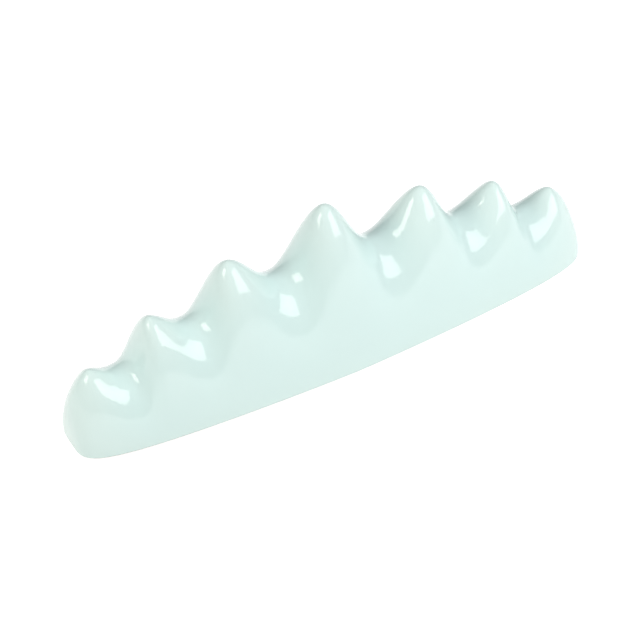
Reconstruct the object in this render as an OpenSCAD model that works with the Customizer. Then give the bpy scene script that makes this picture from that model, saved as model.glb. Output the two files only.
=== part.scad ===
// Porcelain brush rest in the form of a mountain range: seven peaks with six brush cradles between them.
// A slip-cast hollow body stands on its bare foot ring. A slab closes it from below, and a coat of
// celadon glaze covers it down to the foot. The origin is at the centre of the foot, +X runs along the
// range, +Y to the back and +Z up. Lengths are in millimetres.

/* [Main sizes] */
// Length of the range from end to end
length = 180; // [162:1:198]
// Depth of the range from front to back
depth = 36.4; // [32:0.1:42]

/* [Peaks] */
// Height of the middle peak above the table
peak_middle_h = 55; // [48:0.1:66]
// Height of the two peaks beside the middle one
peak_second_h = 47.7; // [42:0.1:56]
// Height of the third peak on each side
peak_third_h = 38.1; // [33.5:0.1:46]
// Height of the peak at each end
peak_end_h = 26.8; // [24.5:0.1:33]
// Distance from the middle peak to the second one, as a share of the length
inner_gap_share = 0.1856; // [0.17:0.0001:0.195]
// Distance from the second peak to the third one, as a share of the length
next_gap_share = 0.1506; // [0.14:0.0001:0.16]
// Distance from the third peak to the end one, as a share of the length
outer_gap_share = 0.1133; // [0.1:0.0001:0.118]

/* [Cradles] */
// Height of the two cradles beside the middle peak
cradle_inner_h = 35; // [28:0.1:40.5]
// Height of the next cradle on each side
cradle_next_h = 30.4; // [24:0.1:33]
// Height of the cradle at each end
cradle_outer_h = 22.3; // [17:0.1:24]
// Flatness of the floor of the four inner cradles: 1 is round, 3 is wide and flat
cradle_inner_flatness = 1.19; // [1:0.01:3]
// Flatness of the floor of the two end cradles: 1 is round, 3 is wide and flat
cradle_outer_flatness = 1.57; // [1:0.01:3]

/* [Outline and section] */
// How soon the outline draws in towards the ends: 1.2 is soon, 2.5 is late
outline_taper = 1.3; // [1.2:0.01:2.5]
// How blunt the two ends of the outline are: 2 is round, 5 is square
outline_bluntness = 4.67; // [2:0.01:5]
// How far the crest hangs on beyond an end peak before it drops: 1 is little, 2.5 is far
nose_hang = 1.41; // [1.1:0.01:2.5]
// Roundness of the nose against the vertical: 1 is sharp, 4 is square
nose_roundness = 2.55; // [1.5:0.01:4]
// Fullness of the shoulder over a peak: 1.4 is lean, 3 is full
peak_shoulder_fullness = 1.97; // [1.4:0.01:3]
// Fullness of the shoulder over a cradle: 1.4 is lean, 3 is full
cradle_shoulder_fullness = 2.19; // [1.4:0.01:3]
// How far the sides under a peak stand up before they lean in: 1.3 is little, 3 is much
peak_side_fullness = 1.47; // [1.3:0.01:3]
// How far the sides under a cradle stand up before they lean in: 1.3 is little, 3 is much
cradle_side_fullness = 1.73; // [1.3:0.01:3]

/* [Ceramic] */
// Thickness of the glaze coat
glaze_t = 0.5; // [0.3:0.05:0.9]
// Thickness of the cast wall, with its glaze
wall_t = 4.2; // [3.4:0.1:6]
// Width of the foot ring, with the glaze above it
foot_w = 2.8; // [2.2:0.1:3.2]
// Radius of the bare rounded edge under the glaze line
foot_r = 0.6; // [0.3:0.05:1]
// Share of each peak's height over its cradle that the casting leaves hollow inside
hollow_share = 0.45; // [0.2:0.01:0.6]

/* [Base slab] */
// Thickness of the slab that closes the foot
slab_t = 3.2; // [2.4:0.1:5]
// Height of the slab's underside above the table
slab_recess = 0.8; // [0.4:0.1:1.6]
// Clearance all round the slab for the luting slip
lute_gap = 0.15; // [0.05:0.01:0.4]
// Diameter of the vent that lets air out in the kiln
vent_d = 4; // [2.5:0.1:6]

/* [Smoothness] */
// Steps between two peaks, for the inner, next and outer gap
crest_steps = [14, 12, 8]; // [4:1:18]
// Steps from an end peak to the tip of its nose
nose_steps = 10; // [6:1:14]
// Steps from the front over the crest to the back
cross_steps = 20; // [12:2:22]
// Steps round the small edges of the foot and the glaze
edge_steps = 3; // [2:1:4]

/* [Hidden] */

// Places of the middle, second, third and end peak on the +X side
peak_x = [
    0,
    length * inner_gap_share,
    length * (inner_gap_share + next_gap_share),
    length * (inner_gap_share + next_gap_share + outer_gap_share)
];
peak_z = [peak_middle_h, peak_second_h, peak_third_h, peak_end_h];
cradle_z = [cradle_inner_h, cradle_next_h, cradle_outer_h];
flatness = [cradle_inner_flatness, cradle_inner_flatness, cradle_outer_flatness];
end_x = peak_x[3];
half_l = length / 2;
half_d = depth / 2;
// Length of the nose beyond each end peak
nose_l = half_l - end_x;
// Share of the half length at which the mesh turns from the long sides into the blunt ends
corner_at = 0.93;
corner_share = pow(corner_at, outline_taper);
// The glaze ends in a quarter round, so its outer face starts above the bare foot by its thickness
glaze_line_z = foot_r;
glaze_face_z = foot_r + glaze_t;
ledge_z = slab_recess + slab_t;
// How far the vent's cutter runs past each face of the slab
cut_past = 1;

// Ridge line

// Number of the gap that holds x: 0 to 2 between two peaks, and 3 on the nose
function gap_at(x) = abs(x) < peak_x[1] ? 0 : abs(x) < peak_x[2] ? 1 : abs(x) < end_x ? 2 : 3;

// 0 in the middle of gap g and 1 at its peaks, along a raised cosine
function rise_in(x, g) =
    let (mid = (peak_x[g] + peak_x[g + 1]) / 2, t = abs(abs(x) - mid) / (peak_x[g + 1] - mid))
    pow((1 - cos(180 * t)) / 2, flatness[g]);
function rise(x) = let (g = gap_at(x)) g == 3 ? 1 : rise_in(x, g);

// Height of the peak that stands over x in gap g
function peak_over(x, g) = abs(x) > (peak_x[g] + peak_x[g + 1]) / 2 ? peak_z[g + 1] : peak_z[g];

// Height of the crest at x, set in by a skin. keep is the share of each peak's rise that is kept, and a
// peak that keeps less of its rise is narrower too.
function crest_between(x, g, skin, keep) =
    cradle_z[g] - skin + keep * (peak_over(x, g) - cradle_z[g]) * pow(rise_in(x, g), 1 / keep);
function end_crest(skin, keep) = cradle_z[2] - skin + keep * (peak_end_h - cradle_z[2]);
function nose_fall(x, skin) =
    let (t = min(1, (abs(x) - end_x) / (nose_l - skin)))
    pow(1 - pow(t, nose_hang), 1 / nose_roundness);
function crest(x, skin, keep, base) =
    let (g = gap_at(x))
    g == 3 ? base + (end_crest(skin, keep) - base) * nose_fall(x, skin)
           : crest_between(x, g, skin, keep);

// Outline and dome

// Half the depth of the outline at x, set in by a skin
function half_depth_at(x, skin) =
    (half_d - skin) * pow(max(0, 1 - pow(abs(x) / (half_l - skin), outline_taper)), 1 / outline_bluntness);

// Places along the crest: even steps between peaks, then a quarter turn down each nose
function half_stations(skin) = concat(
    [for (g = [0:2], k = [0:crest_steps[g] - 1])
        peak_x[g] + (peak_x[g + 1] - peak_x[g]) * k / crest_steps[g]],
    [for (k = [0:nose_steps]) end_x + (nose_l - skin) * sin(90 * k / nose_steps)]
);
half_n = crest_steps[0] + crest_steps[1] + crest_steps[2] + nose_steps;
nx = 2 * half_n;
ny = cross_steps;
function stations(skin) =
    let (s = half_stations(skin))
    [for (i = [0:nx]) i < half_n ? -s[half_n - i] : s[i - half_n]];

// Plan of mesh point i, j: rows run across at an even crest place, and bend a little with the ends
function plan_point(a, b, skin) = [
    (half_l - skin) * a * pow(1 - (1 - corner_share) * pow(abs(b), outline_bluntness), 1 / outline_taper),
    (half_d - skin) * b * pow(1 - corner_share * pow(abs(a), outline_taper), 1 / outline_bluntness)
];
function along(i, skin, s) = s[i] / (half_l - skin);
function across(j) = -cos(180 * j / ny);
function on_edge(i, j) = i == 0 || i == nx || j == 0 || j == ny;

// Value at x between one for the cradles and one for the peaks
function shaped(x, at_cradle, at_peak) = at_cradle + (at_peak - at_cradle) * rise(x);

// Height of the dome at p: full sides and shoulders over the cradles, and leaner ones over the peaks
function dome_z(p, skin, keep, base) =
    let (
        shoulder = shaped(p[0], cradle_shoulder_fullness, peak_shoulder_fullness),
        side = shaped(p[0], cradle_side_fullness, peak_side_fullness),
        out = min(1, abs(p[1]) / half_depth_at(p[0], skin))
    )
    base + (crest(p[0], skin, keep, base) - base) * pow(1 - pow(out, side), 1 / shoulder);

function dome(skin, keep, base) =
    let (s = stations(skin))
    [for (i = [0:nx], j = [0:ny])
        let (p = plan_point(along(i, skin, s), across(j), skin))
        [p[0], p[1], on_edge(i, j) ? base : dome_z(p, skin, keep, base)]];

// Numbers of the dome's points round its edge, anticlockwise from above
dome_n = (nx + 1) * (ny + 1);
edge_n = 2 * (nx + ny);
function at(i, j) = i * (ny + 1) + j;
dome_edge = concat(
    [for (i = [0:nx - 1]) at(i, 0)],
    [for (j = [0:ny - 1]) at(nx, j)],
    [for (i = [nx:-1:1]) at(i, ny)],
    [for (j = [ny:-1:1]) at(0, j)]
);

// Outline as a ring of points, in the same order as dome_edge
function ring(skin, z) =
    let (s = stations(skin))
    [for (e = dome_edge)
        let (i = floor(e / (ny + 1)), j = e % (ny + 1), p = plan_point(along(i, skin, s), across(j), skin))
        [p[0], p[1], z]];

// Faces, clockwise from outside

function turned(faces) = [for (f = faces) [f[2], f[1], f[0]]];
// The diagonals lean the same way on both sides of the crest and of the middle
function cell(i, j, first) =
    let (
        a = first + at(i, j),
        b = first + at(i + 1, j),
        c = first + at(i + 1, j + 1),
        d = first + at(i, j + 1)
    )
    (i < half_n) == (j < ny / 2) ? [[a, d, c], [a, c, b]] : [[a, d, b], [b, d, c]];
function dome_faces(first) = [for (i = [0:nx - 1], j = [0:ny - 1], f = cell(i, j, first)) f];
// Band between an upper and a lower loop of point numbers that both run anticlockwise from above
function band(upper, lower) =
    [for (k = [0:edge_n - 1])
        let (m = (k + 1) % edge_n)
        each [[upper[k], upper[m], lower[m]], [upper[k], lower[m], lower[k]]]];
function edge_from(first) = [for (e = dome_edge) first + e];
function loop_from(first) = [for (k = [0:edge_n - 1]) first + k];
function bands(loops) = [for (k = [0:len(loops) - 2]) each band(loops[k], loops[k + 1])];

// Sub-parts

// Slip-cast shell: dome, rounded bare foot, flat foot ring, rebate for the slab, ledge and cavity
module porcelain_body() {
    rings = concat(
        [for (k = [1:edge_steps])
            let (a = 90 * k / edge_steps)
            ring(glaze_t + foot_r * (1 - cos(a)), foot_r * (1 - sin(a)))],
        [ring(foot_w, 0), ring(foot_w, ledge_z)]
    );
    cavity_first = dome_n + len(rings) * edge_n;
    loops = concat(
        [dome_edge],
        [for (k = [0:len(rings) - 1]) loop_from(dome_n + k * edge_n)],
        [edge_from(cavity_first)]
    );
    color("#f3f1ea")
    polyhedron(
        points = concat(
            dome(glaze_t, 1, glaze_line_z),
            [for (r = rings) each r],
            dome(wall_t, hollow_share, ledge_z)
        ),
        faces = concat(dome_faces(0), bands(loops), turned(dome_faces(cavity_first)))
    );
}

// Flat slab luted into the rebate against the ledge, with the kiln vent through its middle
module base_slab() {
    color("#ebe7dc")
    difference() {
        translate([0, 0, slab_recess])
            linear_extrude(slab_t)
                polygon([for (p = ring(foot_w + lute_gap, 0)) [p[0], p[1]]]);
        translate([0, 0, slab_recess - cut_past])
            cylinder(h = slab_t + 2 * cut_past, d = vent_d, $fn = 32);
    }
}

// Fired skin of glaze over the dome, rounded where it ends above the bare foot
module glaze_coat() {
    rings = [for (k = [1:edge_steps - 1])
        let (a = 90 * k / edge_steps)
        ring(glaze_t * (1 - cos(a)), glaze_line_z + glaze_t * (1 - sin(a)))];
    inner_first = dome_n + len(rings) * edge_n;
    loops = concat(
        [dome_edge],
        [for (k = [0:len(rings) - 1]) loop_from(dome_n + k * edge_n)],
        [edge_from(inner_first)]
    );
    color("#d8efea")
    polyhedron(
        points = concat(
            dome(0, 1, glaze_face_z),
            [for (r = rings) each r],
            dome(glaze_t, 1, glaze_line_z)
        ),
        faces = concat(dome_faces(0), bands(loops), turned(dome_faces(inner_first)))
    );
}

porcelain_body();
base_slab();
glaze_coat();
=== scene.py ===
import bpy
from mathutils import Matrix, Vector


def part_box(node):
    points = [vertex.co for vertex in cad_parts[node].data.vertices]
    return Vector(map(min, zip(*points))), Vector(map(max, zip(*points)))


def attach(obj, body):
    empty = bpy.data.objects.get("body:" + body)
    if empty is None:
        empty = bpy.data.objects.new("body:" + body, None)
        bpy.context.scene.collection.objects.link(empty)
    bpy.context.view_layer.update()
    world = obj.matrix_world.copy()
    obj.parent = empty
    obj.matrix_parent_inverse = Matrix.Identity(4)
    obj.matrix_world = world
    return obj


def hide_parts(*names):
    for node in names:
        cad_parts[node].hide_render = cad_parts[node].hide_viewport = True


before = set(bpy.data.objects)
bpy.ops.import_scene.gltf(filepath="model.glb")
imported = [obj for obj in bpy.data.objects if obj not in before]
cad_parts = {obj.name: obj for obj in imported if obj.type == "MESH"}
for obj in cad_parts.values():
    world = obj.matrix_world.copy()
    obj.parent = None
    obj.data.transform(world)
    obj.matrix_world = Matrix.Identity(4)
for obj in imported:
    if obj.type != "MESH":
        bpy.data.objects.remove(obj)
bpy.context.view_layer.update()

from math import cos, pi, radians, sin, tan

import bmesh
import bpy
from bpy.props import FloatProperty, FloatVectorProperty, PointerProperty
from mathutils import Matrix, Vector

bl_info = {
    "name": "Porcelain Brush Rest",
    "version": (1, 0, 0),
    "blender": (4, 5, 0),
    "location": "3D View > Sidebar > Brush Rest",
    "description": "Finishes a celadon-glazed porcelain brush rest round its packed solids",
    "category": "Object",
}

MM = 0.001
# Two points of a solid closer than this are one point, and two faces that turn by less are one face
WELD = 0.001 * MM
FLAT = radians(1)
# Edges sharper than this, no higher than the ledge, are made edges: the foot, the rebate and the glaze
# line. Faces that turn by less than the second angle belong to one rounding.
MADE_EDGE = radians(50)
SAME_ROUNDING = radians(35)
LEDGE_TOP = 4.5 * MM
# The small steps of the bare foot edge and of the end of the glaze lie below these heights
FOOT_EDGE_TOP = 0.65 * MM
GLAZE_END_TOP = 1.15 * MM
# A subdivided surface draws in by a sixth of the step between its points. Smoothing by this factor
# first moves the points out by as much, so the finished surface runs through the solid's own points.
DRAW_IN = -0.667
# The strongest bend that is left on this form once it is averaged, and how often it is averaged
FULL_BEND = 1 / (40 * MM)
BEND_ROUNDS = 14
# Width of the camera's sensor, in millimetres, and the nearest that the camera sees
SENSOR_WIDTH = 36
NEAREST = 0.01


def linear(code):
    """Linear colour of an sRGB hex code."""
    parts = [int(code[i : i + 2], 16) / 255 for i in (0, 2, 4)]
    return [c / 12.92 if c <= 0.04045 else ((c + 0.055) / 1.055) ** 2.4 for c in parts]


def colour(name, description, code):
    """Colour setting, from an sRGB hex code."""
    return FloatVectorProperty(
        name=name, description=description, subtype="COLOR", size=3, min=0, max=1, default=linear(code)
    )


def length(name, description, metres):
    """Length setting."""
    return FloatProperty(
        name=name, description=description, default=metres, precision=5, unit="LENGTH", subtype="DISTANCE"
    )


def number(name, description, default, **limits):
    """Setting without a unit."""
    return FloatProperty(name=name, description=description, default=default, **limits)


def angle(name, description, degrees):
    """Angle setting, from degrees."""
    return FloatProperty(
        name=name, description=description, default=radians(degrees), unit="ROTATION", subtype="ANGLE"
    )


# Settings


class GlazeSettings(bpy.types.PropertyGroup):
    face: colour("Glaze", "Colour of the celadon glaze on the open faces", "dcf4f1")
    # Darker, greener colour in the hollows: partly where the glaze pools thick, partly painted shade
    pooled_and_shaded: colour("Pooled glaze", "Colour where the glaze pools thick, in the cradles", "c8e8df")
    thin: colour("Thin glaze", "Colour where the glaze runs thin over a crest", "e2f7f3")
    # Strength of the darkening in the hollows, glaze that pools and painted shade alike, and of the paling on
    # crests
    pool_and_shade_contrast: number("Pooling", "How strongly the colour follows hollows and crests", 1.0, min=0, max=2)
    cloud_size: length("Cloud size", "Distance between the soft clouds in the colour", 14 * MM)
    cloud_shift: number("Cloud strength", "How far the clouds shift the pooling either way", 0.06)
    gloss_roughness: number("Roughness", "Roughness of the fired surface", 0.06, min=0, max=1)
    refraction: number("Refraction", "Refractive index of the glaze", 1.56)
    wave_size: length("Wave size", "Distance between the slow waves that the brush leaves", 9 * MM)
    wave_height: length("Wave height", "Height of the slow waves", 0.06 * MM)
    ripple_size: length("Ripple size", "Distance between the fine ripples of the fired surface", 1.6 * MM)
    ripple_height: length("Ripple height", "Height of the fine ripples", 0.0016 * MM)


class PorcelainSettings(bpy.types.PropertyGroup):
    body: colour("Bare porcelain", "Colour of the unglazed body on the foot ring", "efeae0")
    slab: colour("Slab", "Colour of the unglazed slab", "ebe5d8")
    slip: colour("Slip", "Colour of the luting slip round the slab", "e6dfd0")
    speck: colour("Specks", "Colour of the darker grains", "b9ab95")
    foot_round: length("Foot rounding", "Radius sponged on the inner edges of the foot ring", 0.25 * MM)
    slab_round: length("Slab rounding", "Radius on the edges of the slab and its vent", 0.35 * MM)
    bead: length("Slip bead", "Radius of the bead of luting slip round the slab", 0.3 * MM)
    bead_waver: number("Waver of the bead", "How uneven the bead is, as a share of its radius", 0.12)
    grain_size: length("Grain size", "Distance between the grains of the bare surface", 0.35 * MM)
    grain_height: length("Grain height", "Height of the grains of the bare surface", 0.01 * MM)
    body_roughness: number("Foot roughness", "Roughness of the sponged foot ring", 0.55)
    slab_roughness: number("Slab roughness", "Roughness of the rolled slab", 0.62)
    slip_roughness: number("Slip roughness", "Roughness of the dry slip", 0.7)
    roughness_spread: number("Roughness spread", "How far the grains shift the roughness either way", 0.08)
    refraction: number("Refraction", "Refractive index of the fired body", 1.5)
    body_specks: length("Foot specks", "Distance between the darker grains of the foot ring", 1.8 * MM)
    slab_specks: length("Slab specks", "Distance between the darker grains of the slab", 1.2 * MM)
    slip_specks: length("Slip specks", "Distance between the darker grains of the slip", 2.4 * MM)
    speck_reach: number("Speck reach", "Radius of a grain, as a share of the distance between grains", 0.12)
    speck_core: number("Speck core", "Radius within which a grain is darkest, as the same share", 0.05)
    cloud_size: length("Cloud size", "Distance between the clouds in the bare surface", 9 * MM)
    cloud_dark: number("Cloud dark", "Shade of the darkest clouds", 0.94)
    cloud_light: number("Cloud light", "Shade of the lightest clouds", 1.03)


class StageSettings(bpy.types.PropertyGroup):
    floor_size: length("Floor size", "Width of the floor", 8.0)
    floor_tone: colour("Floor", "Colour of the floor", "e8e8e8")
    floor_lift: number("Floor lift", "Light added to the floor as it is seen, so that it reaches white", 0.55)
    tent_front: number("Front of the tent", "Light from the cloth in front", 0.2)
    tent_back: number("Back of the tent", "Light from the cloth behind", 0.3)
    tent_left: number("Left of the tent", "Light from the cloth on the left", 0.66)
    tent_right: number("Right of the tent", "Light from the cloth on the right", 0.36)
    tent_top: number("Top of the tent", "Light from the cloth overhead", 0.68)
    grid_angle: angle("Softbox grid", "Angle within which the grid of a softbox lets its light out", 115)
    window_azimuth: angle("Window azimuth", "Direction of the large softbox round the object", 34.7)
    window_elevation: angle("Window elevation", "Height of the large softbox", 35.9)
    window_turn: angle("Window turn", "How far the large softbox is turned about its own axis", -14.7)
    window_distance: length("Window distance", "Distance of the large softbox", 0.512)
    window_width: length("Window width", "Width of the large softbox", 0.43)
    window_height: length("Window height", "Height of the large softbox", 0.29)
    window_share: number("Window light", "Light of the large softbox on a surface that faces it", 0.61)
    window_tone: colour("Window colour", "Colour of the large softbox", "ffffff")
    lamp_azimuth: angle("Lamp azimuth", "Direction of the small softbox round the object", -82.7)
    lamp_elevation: angle("Lamp elevation", "Height of the small softbox", 37.8)
    lamp_turn: angle("Lamp turn", "How far the small softbox is turned about its own axis", -7.8)
    lamp_distance: length("Lamp distance", "Distance of the small softbox", 0.538)
    lamp_width: length("Lamp width", "Width of the small softbox", 0.18)
    lamp_height: length("Lamp height", "Height of the small softbox", 0.25)
    lamp_share: number("Lamp light", "Light of the small softbox on a surface that faces it", 0.25)
    lamp_tone: colour("Lamp colour", "Colour of the small softbox", "fffaf0")
    view_azimuth: angle("View azimuth", "Direction of the camera round the object", -26.881)
    view_elevation: angle("View elevation", "Height of the camera", 42.752)
    view_roll: angle("View roll", "How far the camera leans", -3.0683)
    view_distance: length("View distance", "Distance of the camera from the point it looks at", 0.6499)
    view_point: FloatVectorProperty(
        name="View point",
        description="Point that the camera looks at",
        default=(-4.26 * MM, -1.54 * MM, 11.354 * MM),
        precision=5,
        unit="LENGTH",
        subtype="TRANSLATION",
    )
    focal_length: number("Focal length", "Focal length on a 36 mm sensor, in millimetres", 117.335)


# Nodes and materials


def add(tree, kind, settings, inputs):
    """Adds a node with its settings, and sets or links its inputs. Returns the node."""
    node = tree.nodes.new("ShaderNode" + kind)
    for name, value in settings.items():
        setattr(node, name, value)
    for name, value in inputs.items():
        if isinstance(value, bpy.types.NodeSocket):
            tree.links.new(value, node.inputs[name])
        elif isinstance(value, float):
            node.inputs[name].default_value = value
        else:
            node.inputs[name].default_value = [*value, 1]
    return node


def new_material(name):
    """Empty node material and its tree."""
    material = bpy.data.materials.new(name)
    material.use_nodes = True
    material.node_tree.nodes.clear()
    return material, material.node_tree


def celadon_glaze(glaze):
    """Celadon: a pale blue-green feldspar glaze, brushed on and fired glassy over white porcelain.

    The eye sees a wet gloss with slow waves, a greener, darker tone in the hollows, where the glaze
    pools thick and where shade is painted, and a paler one where it has run off a crest.
    """
    material, tree = new_material("celadon_glaze")
    place = add(tree, "TexCoord", {}, {}).outputs["Object"]
    # Clouds as wide as a cradle shift the glaze-pool and painted-shade map by a few hundredths
    hollow = add(tree, "Attribute", {"attribute_name": "pooling"}, {}).outputs["Fac"]
    scale = 1 / glaze.cloud_size
    cloud = add(tree, "TexNoise", {}, {"Vector": place, "Scale": scale, "Detail": 3.0}).outputs["Fac"]
    low, high = -glaze.cloud_shift, glaze.cloud_shift
    drift = add(tree, "MapRange", {}, {"Value": cloud, "To Min": low, "To Max": high}).outputs["Result"]
    pool_and_shade_depth = add(tree, "Math", {"operation": "ADD", "use_clamp": True}, {0: hollow, 1: drift}).outputs[0]
    # From the plain tone at 0.5 to the darker one of the hollows at 1, where the glaze pools thick and shade
    # is painted, and to the thin one at 0
    tone = glaze.face
    for far, end in ((glaze.pooled_and_shaded, 1.0), (glaze.thin, 0.0)):
        reach = {"Value": pool_and_shade_depth, "From Min": 0.5, "From Max": end}
        part = add(tree, "MapRange", {"interpolation_type": "SMOOTHSTEP"}, reach).outputs["Result"]
        tone = add(tree, "Mix", {"data_type": "RGBA"}, {0: part, 6: tone, 7: far}).outputs[2]
    # Slow waves from the brush, and on them the fine ripples of the fired surface
    relief = {}
    for size, height in ((glaze.wave_size, glaze.wave_height), (glaze.ripple_size, glaze.ripple_height)):
        lumps = add(tree, "TexNoise", {}, {"Vector": place, "Scale": 1 / size}).outputs["Fac"]
        relief.update({"Height": lumps, "Distance": height, "Strength": 1.0})
        relief = {"Normal": add(tree, "Bump", {}, relief).outputs["Normal"]}
    gloss = {"Base Color": tone, "Roughness": glaze.gloss_roughness, "IOR": glaze.refraction}
    shader = add(tree, "BsdfPrincipled", {}, gloss | relief)
    add(tree, "OutputMaterial", {}, {"Surface": shader.outputs[0]})
    return material


def fired_clay(name, porcelain, part):
    """Porcelain left bare of glaze, sponged and fired: of the body, the slab or the slip.

    The eye sees a dry, faintly sugary white with soft clouds and a few darker grains.
    """
    keys = (part, f"{part}_roughness", f"{part}_specks")
    tone, roughness, specks = (getattr(porcelain, key) for key in keys)
    material, tree = new_material(name)
    place = add(tree, "TexCoord", {}, {}).outputs["Object"]
    # Soft clouds
    scale = 1 / porcelain.cloud_size
    cloud = add(tree, "TexNoise", {}, {"Vector": place, "Scale": scale}).outputs["Fac"]
    low, high = porcelain.cloud_dark, porcelain.cloud_light
    shade = add(tree, "MapRange", {}, {"Value": cloud, "To Min": low, "To Max": high}).outputs["Result"]
    paint = {"data_type": "RGBA", "blend_type": "MULTIPLY"}
    shaded = add(tree, "Mix", paint, {0: 1.0, 6: tone, 7: shade}).outputs[2]
    # Darker grains
    gap = add(tree, "TexVoronoi", {}, {"Vector": place, "Scale": 1 / specks}).outputs["Distance"]
    reach = {"Value": gap, "From Min": porcelain.speck_reach, "From Max": porcelain.speck_core}
    dark = add(tree, "MapRange", {}, reach).outputs["Result"]
    spotted = add(tree, "Mix", {"data_type": "RGBA"}, {0: dark, 6: shaded, 7: porcelain.speck}).outputs[2]
    # Sugary grain
    grit = {"Vector": place, "Scale": 1 / porcelain.grain_size, "Detail": 4.0, "Roughness": 0.65}
    grain = add(tree, "TexNoise", {}, grit).outputs["Fac"]
    low, high = roughness - porcelain.roughness_spread, roughness + porcelain.roughness_spread
    rough = add(tree, "MapRange", {}, {"Value": grain, "To Min": low, "To Max": high}).outputs["Result"]
    relief = {"Height": grain, "Distance": porcelain.grain_height, "Strength": 1.0}
    bump = add(tree, "Bump", {}, relief).outputs["Normal"]
    body = {"Base Color": spotted, "Roughness": rough, "IOR": porcelain.refraction, "Normal": bump}
    shader = add(tree, "BsdfPrincipled", {}, body)
    add(tree, "OutputMaterial", {}, {"Surface": shader.outputs[0]})
    return material


def pale_floor(stage):
    """Matt paper sheet. What the camera, metal and glass see of it is lifted to white, shadows stay."""
    material, tree = new_material("pale_floor")
    paper = add(tree, "BsdfDiffuse", {}, {"Color": stage.floor_tone}).outputs[0]
    glow = add(tree, "Emission", {}, {"Strength": stage.floor_lift}).outputs[0]
    rays = add(tree, "LightPath", {}, {}).outputs
    seen = rays["Is Camera Ray"]
    for ray in ("Is Glossy Ray", "Is Transmission Ray"):
        seen = add(tree, "Math", {"operation": "MAXIMUM"}, {0: seen, 1: rays[ray]}).outputs[0]
    unlit = add(tree, "Emission", {}, {"Strength": 0.0}).outputs[0]
    lift = add(tree, "MixShader", {}, {0: seen, 1: unlit, 2: glow}).outputs[0]
    both = add(tree, "AddShader", {}, {0: paper, 1: lift}).outputs[0]
    add(tree, "OutputMaterial", {}, {"Surface": both})
    return material


# Modelling


def only(piece):
    """Makes piece the one that is selected and active."""
    bpy.ops.object.select_all(action="DESELECT")
    piece.select_set(True)
    bpy.context.view_layer.objects.active = piece


def pick(piece, kind, test):
    """In edit mode, selects the vertices, edges or faces that pass test."""
    bpy.ops.mesh.select_mode(type=kind)
    bpy.ops.mesh.select_all(action="DESELECT")
    mesh = bmesh.from_edit_mesh(piece.data)
    for item in {"VERT": mesh.verts, "EDGE": mesh.edges, "FACE": mesh.faces}[kind]:
        if test(item):
            item.select_set(True)
    bmesh.update_edit_mesh(piece.data)


def is_made_edge(edge):
    """Whether an edge is a made one, low on the object and sharp."""
    low = all(v.co.z < LEDGE_TOP for v in edge.verts)
    return low and len(edge.link_faces) == 2 and edge.calc_face_angle() > MADE_EDGE


def is_on_curve(point, height):
    """Whether a point lies above height on the curved surface, away from the made edges."""
    return point.co.z > height and not any(is_made_edge(edge) for edge in point.link_edges)


def welded_copy(node, name):
    """New piece from a copy of a node's mesh, with its loose triangles welded. It stays in edit mode."""
    only(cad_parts[node])
    bpy.ops.object.duplicate()
    piece = bpy.context.active_object
    piece.name = piece.data.name = name
    piece.parent = None
    for key in list(piece.keys()):
        del piece[key]
    piece.data.materials.clear()
    bpy.ops.mesh.customdata_custom_splitnormals_clear()
    bpy.ops.object.mode_set(mode="EDIT")
    bpy.ops.mesh.select_all(action="SELECT")
    bpy.ops.mesh.remove_doubles(threshold=WELD)
    bpy.ops.mesh.mark_sharp(clear=True)
    return piece


def join_triangles():
    """In edit mode, turns the triangles of the solid's grid back into four-sided faces."""
    bpy.ops.mesh.select_all(action="SELECT")
    bpy.ops.mesh.tris_convert_to_quads(face_threshold=pi, shape_threshold=pi, topology_influence=1)


def subdivide(piece, levels):
    """Applies a Subdivision Surface."""
    only(piece)
    surface = piece.modifiers.new("smooth_ceramic", "SUBSURF")
    surface.levels = surface.render_levels = levels
    bpy.ops.object.modifier_apply(modifier=surface.name)


def note_pooling_and_shade(piece, contrast):
    """Stores how hollow the surface is at each point: 0 on a crest, 0.5 on a flat and 1 in a hollow. The
    glaze colour darkens towards 1, where the glaze pools and where shade is painted.
    """
    mesh = bmesh.new()
    mesh.from_mesh(piece.data)
    mesh.verts.ensure_lookup_table()
    near = [[edge.other_vert(v).index for edge in v.link_edges] for v in mesh.verts]
    bend = []
    for v, others in zip(mesh.verts, near):
        steps = [mesh.verts[k].co - v.co for k in others]
        square = sum(s.length_squared for s in steps) / len(steps)
        bend.append(sum(s.dot(v.normal) for s in steps) / len(steps) / square)
    for _ in range(BEND_ROUNDS):
        bend = [(b + sum(bend[k] for k in others) / len(others)) / 2 for b, others in zip(bend, near)]
    values = [min(1, max(0, 0.5 + 0.5 * contrast * b / FULL_BEND)) for b in bend]
    mesh.free()
    piece.data.attributes.new("pooling", "FLOAT", "POINT").data.foreach_set("value", values)


def finish_piece(piece, material, slot, *nodes):
    """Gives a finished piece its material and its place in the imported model."""
    piece.data.materials.append(material)
    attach(piece, "root")
    if nodes:
        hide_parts(*nodes)
    bpy.ops.object.select_all(action="DESELECT")


# Pieces


class BRUSHREST_OT_porcelain_shell(bpy.types.Operator):
    """Smooths the cast porcelain body and rounds the edges of its foot ring, rebate and ledge"""

    bl_idname = "brush_rest.porcelain_shell"
    bl_label = "Porcelain Shell"

    def execute(self, context):
        porcelain = context.scene.porcelain
        piece = welded_copy("porcelain_body", "porcelain_shell")
        join_triangles()
        pick(piece, "VERT", lambda point: is_on_curve(point, FOOT_EDGE_TOP))
        bpy.ops.mesh.vertices_smooth(factor=DRAW_IN)
        pick(piece, "EDGE", is_made_edge)
        bpy.ops.mesh.bevel(offset=porcelain.foot_round, segments=2)
        bpy.ops.object.mode_set(mode="OBJECT")
        subdivide(piece, 1)
        bpy.ops.object.shade_smooth()
        clay = fired_clay("bare_porcelain", porcelain, "body")
        finish_piece(piece, clay, "bare_porcelain", "porcelain_body")
        return {"FINISHED"}


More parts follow.
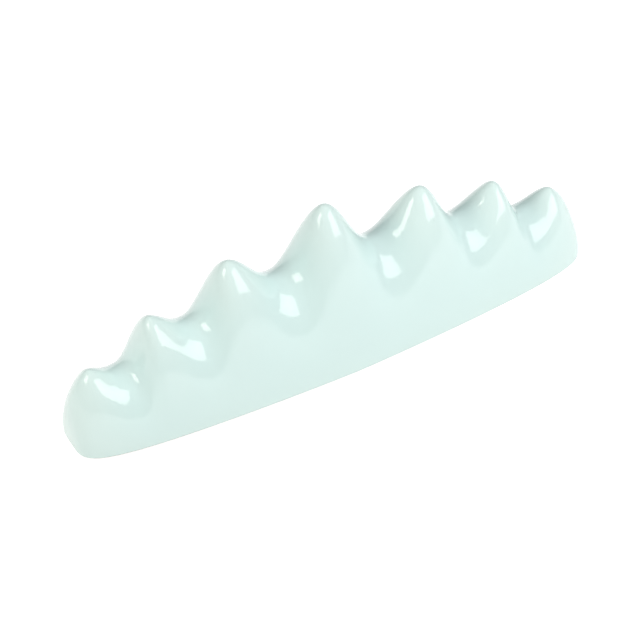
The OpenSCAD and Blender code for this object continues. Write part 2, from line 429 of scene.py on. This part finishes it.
class BRUSHREST_OT_slip_bead(bpy.types.Operator):
    """Runs a bead of luting slip round the slab, in the corner with the foot ring"""

    bl_idname = "brush_rest.slip_bead"
    bl_label = "Slip Bead"

    def execute(self, context):
        porcelain = context.scene.porcelain
        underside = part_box("base_slab")[0].z
        # The rim of the vent is left out: it lies near the middle, and the slab's own rim doesn't
        near_middle = 5 * MM
        slab = welded_copy("base_slab", "slab_edge")
        bpy.ops.mesh.dissolve_limited(angle_limit=FLAT)

        def is_rim(edge):
            ends = [v.co for v in edge.verts]
            low = all(abs(p.z - underside) < WELD for p in ends)
            return low and is_made_edge(edge) and min(p.xy.length for p in ends) > near_middle

        pick(slab, "EDGE", is_rim)
        bpy.ops.mesh.duplicate()
        bpy.ops.mesh.separate(type="SELECTED")
        bpy.ops.object.mode_set(mode="OBJECT")
        piece = next(o for o in context.selected_objects if o != slab)
        only(slab)
        bpy.ops.object.delete()
        only(piece)
        bpy.ops.object.convert(target="CURVE")
        piece.name = piece.data.name = "slip_bead"
        piece.data.bevel_depth = porcelain.bead
        piece.data.bevel_resolution = 3
        bpy.ops.object.convert(target="MESH")
        bpy.ops.object.mode_set(mode="EDIT")
        bpy.ops.mesh.select_all(action="SELECT")
        bpy.ops.mesh.remove_doubles(threshold=WELD)
        # The sponge leaves the bead a little uneven
        bpy.ops.transform.vertex_random(offset=porcelain.bead_waver * porcelain.bead, seed=3)
        bpy.ops.mesh.vertices_smooth(factor=0.5, repeat=2)
        bpy.ops.mesh.normals_make_consistent(inside=False)
        bpy.ops.object.mode_set(mode="OBJECT")
        bpy.ops.object.shade_smooth()
        finish_piece(piece, fired_clay("luting_slip", porcelain, "slip"), "slab_porcelain")
        return {"FINISHED"}


class BRUSHREST_OT_foot_slab(bpy.types.Operator):
    """Softens the edges of the slab that closes the foot, and the rim of its kiln vent"""

    bl_idname = "brush_rest.foot_slab"
    bl_label = "Foot Slab"

    def execute(self, context):
        porcelain = context.scene.porcelain
        piece = welded_copy("base_slab", "foot_slab")
        bpy.ops.mesh.dissolve_limited(angle_limit=FLAT)
        pick(piece, "EDGE", is_made_edge)
        bpy.ops.mesh.bevel(offset=porcelain.slab_round, segments=3)
        bpy.ops.object.mode_set(mode="OBJECT")
        bpy.ops.object.shade_smooth_by_angle(angle=SAME_ROUNDING)
        # The broad flat faces shade flat, and only the rounded edges turn from one to the next
        even = piece.modifiers.new("flat_faces", "WEIGHTED_NORMAL")
        even.keep_sharp = True
        bpy.ops.object.modifier_apply(modifier=even.name)
        clay = fired_clay("slab_porcelain", porcelain, "slab")
        finish_piece(piece, clay, "slab_porcelain", "base_slab")
        return {"FINISHED"}


class BRUSHREST_OT_glaze_skin(bpy.types.Operator):
    """Smooths the coat of celadon glaze and notes where it pools, with painted shade in the hollows, and
    where it runs thin
    """

    bl_idname = "brush_rest.glaze_skin"
    bl_label = "Glaze Skin"

    def execute(self, context):
        glaze = context.scene.glaze
        piece = welded_copy("glaze_coat", "glaze_skin")
        join_triangles()
        pick(piece, "EDGE", is_made_edge)
        bpy.ops.transform.edge_crease(value=1)
        pick(piece, "VERT", lambda point: is_on_curve(point, GLAZE_END_TOP))
        bpy.ops.mesh.vertices_smooth(factor=DRAW_IN)
        bpy.ops.object.mode_set(mode="OBJECT")
        note_pooling_and_shade(piece, glaze.pool_and_shade_contrast)
        subdivide(piece, 2)
        bpy.ops.object.shade_smooth()
        finish_piece(piece, celadon_glaze(glaze), "celadon_glaze", "glaze_coat")
        return {"FINISHED"}


# Stage


def direction(azimuth, elevation):
    """Unit vector towards a place round the object. Azimuth 0 is the front and 90 the right."""
    return Vector((sin(azimuth) * cos(elevation), -cos(azimuth) * cos(elevation), sin(elevation)))


def facing(away, turn):
    """Rotation of a lamp or camera that looks against away, turned about its own axis."""
    upright = away.to_track_quat("Z", "Y").to_matrix()
    return (upright @ Matrix.Rotation(turn, 3, "Z")).to_euler()


def softbox(name, stage, prefix):
    """Rectangular area lamp that faces the object. A share of 1 would show a white surface as white."""
    azimuth, elevation, turn, distance, width, height, share, tone = (
        getattr(stage, f"{prefix}_{part}")
        for part in ("azimuth", "elevation", "turn", "distance", "width", "height", "share", "tone")
    )
    place = direction(azimuth, elevation) * distance
    bpy.ops.object.light_add(type="AREA", location=place)
    lamp = bpy.context.active_object
    lamp.name = name
    lamp.rotation_euler = facing(place, turn)
    lamp.data.shape = "RECTANGLE"
    lamp.data.size, lamp.data.size_y = width, height
    # The grid throws the light forwards, so the lamp needs less power for the same share
    half = stage.grid_angle / 2
    lamp.data.spread = stage.grid_angle
    lamp.data.energy = share * pi * pi * distance * distance * (1 - half / tan(half))
    lamp.data.color = tone


def light_tent(stage):
    """Light all round, as from a tent of white cloth whose sides pass more or less of it."""
    world = bpy.data.worlds.new("light_tent")
    world.use_nodes = True
    tree = world.node_tree
    tree.nodes.clear()
    ray = add(tree, "TexCoord", {}, {}).outputs["Generated"]
    along = add(tree, "SeparateXYZ", {}, {"Vector": ray}).outputs
    total = 0.0
    for axis, low_side, high_side in (
        ("X", stage.tent_left, stage.tent_right),
        ("Y", stage.tent_front, stage.tent_back),
        ("Z", stage.tent_top, stage.tent_top),
    ):
        # The squares of a ray's three parts add up to 1, so they share it out between the sides
        share = add(tree, "Math", {"operation": "MULTIPLY"}, {0: along[axis], 1: along[axis]}).outputs[0]
        high = add(tree, "Math", {"operation": "GREATER_THAN"}, {0: along[axis], 1: 0.0}).outputs[0]
        side = add(tree, "MapRange", {}, {"Value": high, "To Min": low_side, "To Max": high_side}).outputs[0]
        total = add(tree, "Math", {"operation": "MULTIPLY_ADD"}, {0: share, 1: side, 2: total}).outputs[0]
    cloth = add(tree, "Background", {}, {"Color": (1, 1, 1), "Strength": total}).outputs[0]
    add(tree, "OutputWorld", {}, {"Surface": cloth})
    return world


class BRUSHREST_OT_stage(bpy.types.Operator):
    """Sets the floor, the two softboxes, the light all round and the camera"""

    bl_idname = "brush_rest.stage"
    bl_label = "Floor, Lamps and Camera"

    def execute(self, context):
        stage = context.scene.stage
        bpy.ops.object.select_all(action="DESELECT")
        bpy.ops.mesh.primitive_plane_add(size=stage.floor_size, location=(0, 0, 0))
        floor = context.active_object
        floor.name = "floor"
        floor.data.materials.append(pale_floor(stage))

        softbox("window_softbox", stage, "window")
        softbox("lamp_softbox", stage, "lamp")
        context.scene.world = light_tent(stage)

        back = direction(stage.view_azimuth, stage.view_elevation)
        bpy.ops.object.camera_add(location=Vector(stage.view_point) + back * stage.view_distance)
        camera = context.active_object
        camera.name = "camera"
        camera.data.lens = stage.focal_length
        camera.data.sensor_width = SENSOR_WIDTH
        camera.data.clip_start = NEAREST
        camera.rotation_euler = facing(back, stage.view_roll)
        context.scene.camera = camera

        context.scene.view_settings.view_transform = "Standard"
        return {"FINISHED"}


class BRUSHREST_PT_panel(bpy.types.Panel):
    """Settings and steps of the brush rest"""

    bl_idname = "BRUSHREST_PT_panel"
    bl_label = "Brush Rest"
    bl_space_type = "VIEW_3D"
    bl_region_type = "UI"
    bl_category = "Brush Rest"

    def draw(self, context):
        for step, title in STEPS:
            self.layout.operator(step, text=title)
        for name, group in SETTINGS.items():
            box = self.layout.box()
            box.label(text=name.capitalize())
            for setting in group.__annotations__:
                box.prop(getattr(context.scene, name), setting)


SETTINGS = {"glaze": GlazeSettings, "porcelain": PorcelainSettings, "stage": StageSettings}
OPERATORS = [
    BRUSHREST_OT_porcelain_shell,
    BRUSHREST_OT_slip_bead,
    BRUSHREST_OT_foot_slab,
    BRUSHREST_OT_glaze_skin,
    BRUSHREST_OT_stage,
]
STEPS = [(operator.bl_idname, operator.bl_label) for operator in OPERATORS]
CLASSES = [*SETTINGS.values(), *OPERATORS, BRUSHREST_PT_panel]


def register():
    for cls in CLASSES:
        bpy.utils.register_class(cls)
    for name, group in SETTINGS.items():
        setattr(bpy.types.Scene, name, PointerProperty(type=group))


def unregister():
    for name in SETTINGS:
        delattr(bpy.types.Scene, name)
    for cls in reversed(CLASSES):
        bpy.utils.unregister_class(cls)


def main():
    register()
    for step, _ in STEPS:
        group, name = step.split(".")
        result = getattr(getattr(bpy.ops, group), name)()
        if result != {"FINISHED"}:
            raise RuntimeError(f"{step} did not finish")


if __name__ == "__main__":
    main()
